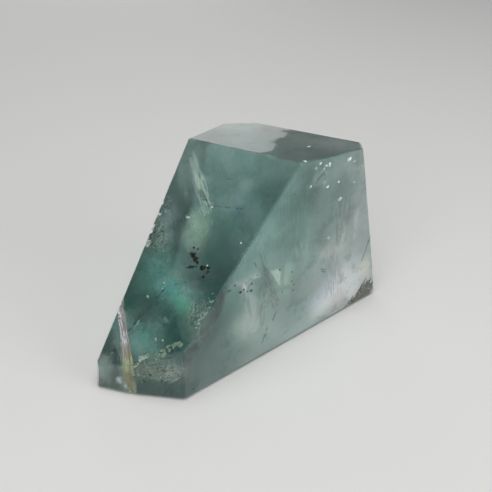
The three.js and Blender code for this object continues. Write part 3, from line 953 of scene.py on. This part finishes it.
def scratch_pattern(shades):
    """Fine polishing scratches: thin threads of stretched noise that run three ways, in patches."""
    ways = ((0.3, 0.5, -0.6), (0.9, 0.2, -0.3), (0.1, 0.1, 1.0))
    patches = shades.ramp(shades.noise(120.0, 2.0), 0.42, 0.60)
    total = 0.0
    for way in ways:
        threads = shades.noise(1.0, 1.0, place=shades.stretched(way, 5.0 * MM, 0.18 * MM))
        total = shades.plus(total, shades.ramp(threads, 0.68, 0.74))
    return shades.times(total, patches)


def copy_of_node(node_name, piece_name):
    """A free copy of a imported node, its loose triangles merged into flat facets."""
    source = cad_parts[node_name]
    piece = placed(piece_name, source.data.copy())
    pick(piece)
    to_mode("EDIT")
    bpy.ops.mesh.select_all(action="SELECT")
    bpy.ops.mesh.remove_doubles(threshold=MERGE_GAP)
    bpy.ops.mesh.dissolve_limited(angle_limit=FLAT_ANGLE)
    to_mode("OBJECT")
    return piece


def facet_planes(smallest=8.0 * MM * MM):
    """The planes of the stone's main facets, as normals and distances from the origin."""
    piece = copy_of_node(STONE_NODE, "facets")
    broken = broken_faces(piece.data)
    planes = []
    for face in piece.data.polygons:
        offset = face.normal.dot(face.center)
        known = any(face.normal.dot(normal) > SAME_WAY for normal, _ in planes)
        if face.area > smallest and face.index not in broken and not known:
            planes.append((face.normal.copy(), offset))
    bpy.data.objects.remove(piece)
    return planes


def broken_faces(mesh, tolerance=0.04 * MM):
    """Indices of the faces that some of the stone stands in front of: walls of chips, pits and cracks."""
    points = [vertex.co.copy() for vertex in mesh.vertices]
    found = set()
    for face in mesh.polygons:
        plane = face.normal.dot(face.center)
        if max(face.normal.dot(point) for point in points) - plane > tolerance:
            found.add(face.index)
    return found


def roughen(piece, relief):
    """Cuts the faces finer, marks the broken ones and gives them grain; their outer edges stay put."""
    found = broken_faces(piece.data)
    mark = piece.data.attributes.new(BROKEN, "FLOAT", "FACE")
    for face in piece.data.polygons:
        mark.data[face.index].value = 1.0 if face.index in found else 0.0
        face.select = face.index in found
    pick(piece)
    to_mode("EDIT")
    bpy.ops.mesh.select_mode(type="FACE")
    bpy.ops.mesh.quads_convert_to_tris()
    bpy.ops.mesh.subdivide(number_cuts=2)
    to_mode("OBJECT")
    noise.seed_set(RELIEF_SEED)
    mesh = piece.data
    marks = mesh.attributes[BROKEN].data
    whole = {i for face in mesh.polygons if marks[face.index].value < 0.5 for i in face.vertices}
    for vertex in mesh.vertices:
        if vertex.index not in whole:
            coarse = noise.noise_vector(vertex.co / (0.5 * MM))
            fine = noise.noise_vector(vertex.co / (0.17 * MM))
            vertex.co += (coarse + fine * 0.6) * relief


class FLUORITE_OT_polish_stone(Operator):
    """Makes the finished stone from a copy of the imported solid"""

    bl_idname = "fluorite.polish_stone"
    bl_label = "Polish stone"

    def execute(self, context):
        settings = context.scene.fluorite_stone
        stone = copy_of_node(STONE_NODE, "stone")
        roughen(stone, settings.break_relief)
        finish_piece(stone, clear_fluorite(settings))
        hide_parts(STONE_NODE)
        return {"FINISHED"}


# ---------------------------------------------------------------- the inclusions


def mineral(name):
    """A mineral that turns from one tone to another in patches."""
    scale, edges, first, second, roughness = MINERALS[name]
    shades = Shades(name)
    patches = shades.ramp(shades.noise(scale), *edges)
    shades.put("Base Color", shades.mix(patches, opaque(first), opaque(second)))
    if roughness[0] == roughness[1]:
        shades.put("Roughness", roughness[0])
    else:
        shades.put("Roughness", shades.ramp(patches, 0.0, 1.0, *roughness))
    return shades.material


def silvery_break():
    """The bright skin of a healed fracture, streaked along its length."""
    shades = Shades("silvery_break")
    cells = shades.stretched(FISSURE_WAY, 3.0 * MM, 0.2 * MM)
    streaks = shades.noise(1.0, 4.0, 0.7, place=cells)
    blotches = shades.ramp(shades.noise(700.0, 4.0), 0.35, 0.65)
    bright = shades.ramp(streaks, 0.40, 0.60)
    tone = shades.mix(bright, opaque(DULL_SILVER), opaque(BRIGHT_SILVER))
    tone = shades.laid(tone, blotches, 0.35, SILVER_STAIN)
    shades.put("Base Color", tone)
    shades.put("Roughness", shades.ramp(streaks, 0.3, 0.7, 0.2, 0.55))
    shades.put("Metallic", 0.25)
    return shades.material


def take_mesh(piece):
    """The vertices and faces of a modelled template, which is then deleted."""
    mesh = piece.data
    shape = [vertex.co.copy() for vertex in mesh.vertices], [tuple(face.vertices) for face in mesh.polygons]
    bpy.data.objects.remove(piece)
    bpy.data.meshes.remove(mesh)
    return shape


def flake_shape():
    """A thin six-sided plate, one unit across."""
    deselect_all()
    bpy.ops.mesh.primitive_circle_add(vertices=6, radius=0.5, fill_type="NGON")
    piece = bpy.context.object
    to_mode("EDIT")
    bpy.ops.mesh.extrude_region_move(TRANSFORM_OT_translate={"value": (0.0, 0.0, 0.12)})
    bpy.ops.transform.resize(value=(0.7, 0.85, 1.0))
    bpy.ops.mesh.select_all(action="SELECT")
    bpy.ops.mesh.normals_make_consistent(inside=False)
    to_mode("OBJECT")
    return take_mesh(piece)


def grain_shape():
    """A lumpy grain, one unit across."""
    deselect_all()
    bpy.ops.mesh.primitive_ico_sphere_add(subdivisions=1, radius=0.5)
    piece = bpy.context.object
    to_mode("EDIT")
    bpy.ops.transform.vertex_random(offset=0.16, uniform=0.1, seed=LUMP_SEED)
    to_mode("OBJECT")
    return take_mesh(piece)


def needle_shape():
    """A needle one unit long and one unit thick that narrows to both ends."""
    deselect_all()
    bpy.ops.mesh.primitive_cylinder_add(vertices=4, radius=0.5, depth=0.5)
    piece = bpy.context.object
    to_mode("EDIT")
    mesh = bmesh.from_edit_mesh(piece.data)
    for end in (1.0, -1.0):
        bpy.ops.mesh.select_all(action="DESELECT")
        for face in mesh.faces:
            face.select_set(face.normal.z * end > 0.9)
        bpy.ops.mesh.extrude_region_move(TRANSFORM_OT_translate={"value": (0.0, 0.0, 0.25 * end)})
        bpy.ops.transform.resize(value=(0.15, 0.15, 1.0))
    to_mode("OBJECT")
    return take_mesh(piece)


def joined_copies(name, shape, placements):
    """One object with a copy of the shape at each placement."""
    corners, faces = shape
    points = [placement @ corner for placement in placements for corner in corners]
    count = len(corners)
    sides = [[i + n * count for i in face] for n in range(len(placements)) for face in faces]
    mesh = bpy.data.meshes.new(name)
    mesh.from_pydata(points, [], sides)
    return placed(name, mesh)


def random_turn(dice):
    """A random turn about a random axis."""
    axis = Vector((dice.gauss(0, 1), dice.gauss(0, 1), dice.gauss(0, 1)))
    return Matrix.Rotation(dice.uniform(0, 2 * math.pi), 4, axis)


def gathered(dice, centre, reach):
    """A random place near a centre, thicker in the middle."""
    return Vector(c + dice.gauss(0, 0.5) * r for c, r in zip(centre, reach)) * MM


def sized(x, y, z):
    """A scale along each axis."""
    return Matrix.Diagonal((x, y, z, 1.0))


def stone_skin():
    """The finished stone's faces, to measure how deep a place lies."""
    stone = bpy.data.objects["stone"].data
    corners = [vertex.co.copy() for vertex in stone.vertices]
    return BVHTree.FromPolygons(corners, [tuple(face.vertices) for face in stone.polygons])


def buried(skin, point, margin=BURIAL):
    """Whether a place lies inside the stone and deeper than the margin."""
    nearest, normal, _, depth = skin.find_nearest(point)
    return (point - nearest).dot(normal) < 0.0 and depth > margin


def sunk(skin, point, margin):
    """The place itself, or straight below the stone's skin where it would lie nearer than the margin."""
    if buried(skin, point, margin):
        return point
    nearest, normal, _, _ = skin.find_nearest(point)
    return nearest - normal * margin


def thread(name, stations, thickness):
    """A closed thin tube through a few stations, narrowing at its ends."""
    curve = bpy.data.curves.new(name, "CURVE")
    curve.dimensions = "3D"
    curve.bevel_depth = thickness / 2 * MM
    curve.bevel_resolution = 0
    curve.use_fill_caps = True
    curve.resolution_u = 5
    spline = curve.splines.new("NURBS")
    spline.points.add(len(stations) - 1)
    for index, (point, station) in enumerate(zip(spline.points, stations)):
        point.co = (*(Vector(station) * MM), 1.0)
        point.radius = 0.35 if index in (0, len(stations) - 1) else 1.0
    spline.order_u = 3
    spline.use_endpoint_u = True
    pick(placed(name, curve))
    bpy.ops.object.convert(target="MESH")
    return bpy.context.object


def join_pieces(pieces, name):
    """The pieces joined into the first, under one name."""
    deselect_all()
    for piece in pieces:
        piece.select_set(True)
    bpy.context.view_layer.objects.active = pieces[0]
    bpy.ops.object.join()
    pieces[0].name = name
    return pieces[0]


def fracture_sheet(skin, corner, along, across, left):
    """A wavy ragged sheet with holes, thin but closed, torn off where it would reach the stone's skin."""
    along, across, corner = (Vector(v) * MM for v in (along, across, corner))
    cells = 0.12 * MM
    columns, rows = (max(4, round(run.length / cells)) for run in (along, across))
    deselect_all()
    bpy.ops.mesh.primitive_grid_add(x_subdivisions=columns, y_subdivisions=rows, size=1.0)
    piece = bpy.context.object
    normal = along.cross(across).normalized()
    for vertex in piece.data.vertices:
        u, v = vertex.co.x + 0.5, vertex.co.y + 0.5
        spot = corner + along * u + across * v
        wave = noise.noise(spot / (2.2 * MM)) * 0.22 + noise.noise(spot / (0.6 * MM)) * 0.05
        vertex.co = spot + normal * wave * MM
    to_mode("EDIT")
    bpy.ops.mesh.select_mode(type="FACE")
    bpy.ops.mesh.select_all(action="DESELECT")
    mesh = bmesh.from_edit_mesh(piece.data)
    run = along.normalized()
    for face in mesh.faces:
        middle = face.calc_center_median()
        step = middle - corner
        v = step.dot(across) / across.length_squared
        streak = noise.noise(Vector((step.dot(run) / (1.6 * MM), v * across.length / (0.22 * MM), 0.0)))
        # The sheet is whole along the fissure, where v is 0, and more and more of it is gone across.
        torn = 0.5 + 0.5 * streak + 0.25 * noise.noise(middle / (0.4 * MM))
        gone = torn > left + 0.42 - 0.5 * max(0.0, v - 0.35) ** 2 - 0.35 * v
        face.select_set(gone or not all(buried(skin, vertex.co) for vertex in face.verts))
    bmesh.update_edit_mesh(piece.data)
    bpy.ops.mesh.delete(type="FACE")
    to_mode("OBJECT")
    return thickened(piece, SHEET_THICKNESS)


class FLUORITE_OT_heal_fracture(Operator):
    """Lays the bright ragged sheet of the healed fracture beside the open one"""

    bl_idname = "fluorite.heal_fracture"
    bl_label = "Heal fracture"

    def execute(self, context):
        sheet = fracture_sheet(stone_skin(), *FRACTURE)
        sheet.name = "healed_fracture"
        finish_piece(sheet, silvery_break())
        return {"FINISHED"}


class FLUORITE_OT_draw_threads(Operator):
    """Draws the dark and the bright hairline cracks, and the dark threads of painted shade in the low back
    edges
    """

    bl_idname = "fluorite.draw_threads"
    bl_label = "Draw threads"

    def execute(self, context):
        for name, dark, kind in THREAD_PIECES:
            lines = [thread(name, stations, size) for stations, size, is_dark in THREADS if is_dark == dark]
            if dark:
                # Painted shade: dark threads in the low back edges stand for the dark lines that these
                # edges make when seen through the stone.
                lines += [thread(name, stations, SHADED_LOW_EDGE_THICKNESS) for stations in SHADED_LOW_EDGES]
            finish_piece(join_pieces(lines, name), mineral(kind))
        return {"FINISHED"}


class FLUORITE_OT_grow_needles(Operator):
    """Grows the bundles of fine pale and dark needles"""

    bl_idname = "fluorite.grow_needles"
    bl_label = "Grow needles"

    def execute(self, context):
        shape = needle_shape()
        skin = stone_skin()
        dice = random.Random(NEEDLE_SEED)
        for name, dark, kind in NEEDLE_PIECES:
            placements = []
            for middle, run, spread, count, thickness, is_dark in BUNDLES:
                for _ in range(count if is_dark == dark else 0):
                    way = Vector(run).normalized() + Vector(dice.gauss(0, 0.06) for _ in range(3))
                    drift = Vector(run) * dice.uniform(-0.45, 0.45)
                    place = gathered(dice, Vector(middle) + drift, spread)
                    length = Vector(run).length * dice.uniform(0.08, 0.42) * MM
                    thick = thickness * dice.uniform(0.5, 1.2) * MM
                    half = way.normalized() * length * 0.5
                    if buried(skin, place + half) and buried(skin, place - half):
                        turn = way.to_track_quat("Z", "Y").to_matrix().to_4x4()
                        placements.append(Matrix.Translation(place) @ turn @ sized(thick, thick, length))
            finish_piece(joined_copies(name, shape, placements), mineral(kind))
        return {"FINISHED"}


class FLUORITE_OT_gather_flakes(Operator):
    """Gathers the pale clouds of tiny flakes"""

    bl_idname = "fluorite.gather_flakes"
    bl_label = "Gather flakes"

    def execute(self, context):
        shape = flake_shape()
        skin = stone_skin()
        dice = random.Random(FLAKE_SEED)
        placements = []
        for centre, reach, count, flake in CLOUDS:
            for _ in range(count):
                size = flake * dice.uniform(0.6, 1.5) * MM
                place = sunk(skin, gathered(dice, centre, reach), size / 2 + BURIAL)
                placements.append(Matrix.Translation(place) @ random_turn(dice) @ sized(size, size, size))
        finish_piece(joined_copies("pale_flakes", shape, placements), mineral("pale_mineral"))
        return {"FINISHED"}


class FLUORITE_OT_set_grains(Operator):
    """Sets the clusters of brown iron grains"""

    bl_idname = "fluorite.set_grains"
    bl_label = "Set grains"

    def execute(self, context):
        shape = grain_shape()
        skin = stone_skin()
        dice = random.Random(GRAIN_SEED)
        placements = []
        for centre, reach, count, grain in GRAINS:
            for _ in range(count):
                size = grain * dice.uniform(0.5, 1.2) * MM
                deep = size * 0.7 + BURIAL + dice.uniform(0.0, 0.1) * MM
                nearest, normal, _, _ = skin.find_nearest(gathered(dice, centre, reach))
                place = nearest - normal * deep
                form = sized(size * dice.uniform(0.6, 1.4), size, size * dice.uniform(0.6, 1.2))
                placements.append(Matrix.Translation(place) @ random_turn(dice) @ form)
        finish_piece(joined_copies("iron_grains", shape, placements), mineral("iron_brown"))
        return {"FINISHED"}


class FLUORITE_OT_open_flashes(Operator):
    """Opens the small cleavage planes that flash pale green"""

    bl_idname = "fluorite.open_flashes"
    bl_label = "Open cleavage flashes"

    def execute(self, context):
        flashes = []
        for corners in FLASHES:
            deselect_all()
            bpy.ops.mesh.primitive_circle_add(vertices=len(corners), radius=1.0, fill_type="NGON")
            piece = bpy.context.object
            for vertex, corner in zip(piece.data.vertices, corners):
                vertex.co = Vector(corner) * MM
            to_mode("EDIT")
            bpy.ops.mesh.subdivide(number_cuts=3)
            to_mode("OBJECT")
            flashes.append(thickened(piece, FLASH_THICKNESS))
        finish_piece(join_pieces(flashes, "cleavage_flashes"), mineral("pale_mineral"))
        return {"FINISHED"}


# ---------------------------------------------------------------- the stage


def paper(settings):
    """Pale matt paper with a faint tooth."""
    shades = Shades("pale_paper")
    tooth = shades.noise(900.0, 4.0, 0.6)
    shades.put("Base Color", opaque(settings.paper_color))
    bump = shades.add("ShaderNodeBump", {"Height": tooth, "Strength": 0.15, "Distance": 0.1 * MM})
    shades.put("Normal", bump.outputs["Normal"])
    shades.put("Roughness", 0.8)
    return shades.material


def sweep(settings):
    """A round paper floor that turns up into a wall well outside every camera."""
    profile = [(0.0, 0.0), (SWEEP_FLAT, 0.0)]
    for step in range(1, BEND_STEPS + 1):
        angle = math.pi / 2 * step / BEND_STEPS
        profile.append((SWEEP_FLAT + SWEEP_BEND * math.sin(angle), SWEEP_BEND * (1 - math.cos(angle))))
    profile.append((SWEEP_FLAT + SWEEP_BEND, SWEEP_TOP))
    mesh = bpy.data.meshes.new("paper_sweep")
    mesh.from_pydata([(x, 0.0, z) for x, z in profile], [(i, i + 1) for i in range(len(profile) - 1)], [])
    piece = placed("paper_sweep", mesh)
    pick(piece)
    to_mode("EDIT")
    bpy.ops.mesh.select_all(action="SELECT")
    bpy.ops.mesh.spin(steps=ROUND_STEPS, angle=2 * math.pi, center=(0, 0, 0), axis=(0, 0, 1))
    bpy.ops.mesh.select_all(action="SELECT")
    bpy.ops.mesh.remove_doubles(threshold=0.01 * MM)
    bpy.ops.mesh.normals_make_consistent(inside=True)
    to_mode("OBJECT")
    bpy.ops.object.shade_smooth()
    piece.location.z = -settings.paper_gap
    piece.data.materials.append(paper(settings))


def soft_light(name, place, aim, size, radiance, color, roll):
    """A square light panel turned to a point, with its brightness given as radiance."""
    bpy.ops.object.light_add(type="AREA", location=place)
    light = bpy.context.object
    light.name = name
    light.data.size = size
    light.data.energy = radiance * math.pi * size * size
    light.data.color = color
    light.visible_camera = False
    light.rotation_mode = "QUATERNION"
    facing = (Vector(place) - Vector(aim)).to_track_quat("Z", "Y")
    light.rotation_quaternion = facing @ Matrix.Rotation(roll, 3, "Z").to_quaternion()


def studio_air():
    """Soft light from all round, brighter overhead than at the horizon."""
    world = bpy.data.worlds.new("studio_air")
    world.use_nodes = True
    tree = world.node_tree
    background = tree.nodes["Background"]
    direction = tree.nodes.new("ShaderNodeTexCoord")
    height = tree.nodes.new("ShaderNodeSeparateXYZ")
    fade = tree.nodes.new("ShaderNodeMapRange")
    for name, value in (("From Min", 0.1), ("From Max", 0.8), ("To Min", 0.1), ("To Max", 0.25)):
        fade.inputs[name].default_value = value
    background.inputs["Color"].default_value = (0.94, 0.97, 1.0, 1.0)
    tree.links.new(direction.outputs["Generated"], height.inputs[0])
    tree.links.new(height.outputs["Z"], fade.inputs["Value"])
    tree.links.new(fade.outputs["Result"], background.inputs["Strength"])
    return world


class FLUORITE_OT_set_stage(Operator):
    """Adds the paper sweep, the soft lights and the camera"""

    bl_idname = "fluorite.set_stage"
    bl_label = "Set stage"

    def execute(self, context):
        settings = context.scene.fluorite_stage
        deselect_all()
        sweep(settings)
        context.scene.world = studio_air()
        for light in LIGHTS:
            soft_light(*light)

        bpy.ops.object.camera_add(
            location=settings.camera_place,
            rotation=(math.pi / 2 - settings.camera_pitch, 0.0, 0.0),
        )
        camera = context.object
        camera.name = "camera"
        camera.data.angle = settings.camera_view
        camera.data.clip_start = 5.0 * MM
        context.scene.camera = camera

        context.scene.view_settings.view_transform = "Standard"
        cycles = context.scene.cycles
        cycles.max_bounces = LIGHT_BOUNCES
        cycles.glossy_bounces = LIGHT_BOUNCES
        cycles.transmission_bounces = LIGHT_BOUNCES
        return {"FINISHED"}


# ---------------------------------------------------------------- the add-on


STEPS = (
    FLUORITE_OT_polish_stone,
    FLUORITE_OT_heal_fracture,
    FLUORITE_OT_draw_threads,
    FLUORITE_OT_grow_needles,
    FLUORITE_OT_gather_flakes,
    FLUORITE_OT_set_grains,
    FLUORITE_OT_open_flashes,
    FLUORITE_OT_set_stage,
)


class FLUORITE_PT_sidebar(Panel):
    """Lists the steps that finish the stone"""

    bl_idname = "FLUORITE_PT_sidebar"
    bl_label = "Fluorite polyhedron"
    bl_space_type = "VIEW_3D"
    bl_region_type = "UI"
    bl_category = "Fluorite"

    def draw(self, context):
        for step in STEPS:
            self.layout.operator(step.bl_idname)


CLASSES = (StoneSettings, StageSettings, *STEPS, FLUORITE_PT_sidebar)


def register():
    for item in CLASSES:
        bpy.utils.register_class(item)
    bpy.types.Scene.fluorite_stone = PointerProperty(type=StoneSettings)
    bpy.types.Scene.fluorite_stage = PointerProperty(type=StageSettings)


def unregister():
    del bpy.types.Scene.fluorite_stage
    del bpy.types.Scene.fluorite_stone
    for item in reversed(CLASSES):
        bpy.utils.unregister_class(item)


def main():
    register()
    bpy.ops.fluorite.polish_stone()
    bpy.ops.fluorite.heal_fracture()
    bpy.ops.fluorite.draw_threads()
    bpy.ops.fluorite.grow_needles()
    bpy.ops.fluorite.gather_flakes()
    bpy.ops.fluorite.set_grains()
    bpy.ops.fluorite.open_flashes()
    bpy.ops.fluorite.set_stage()


if __name__ == "__main__":
    main()
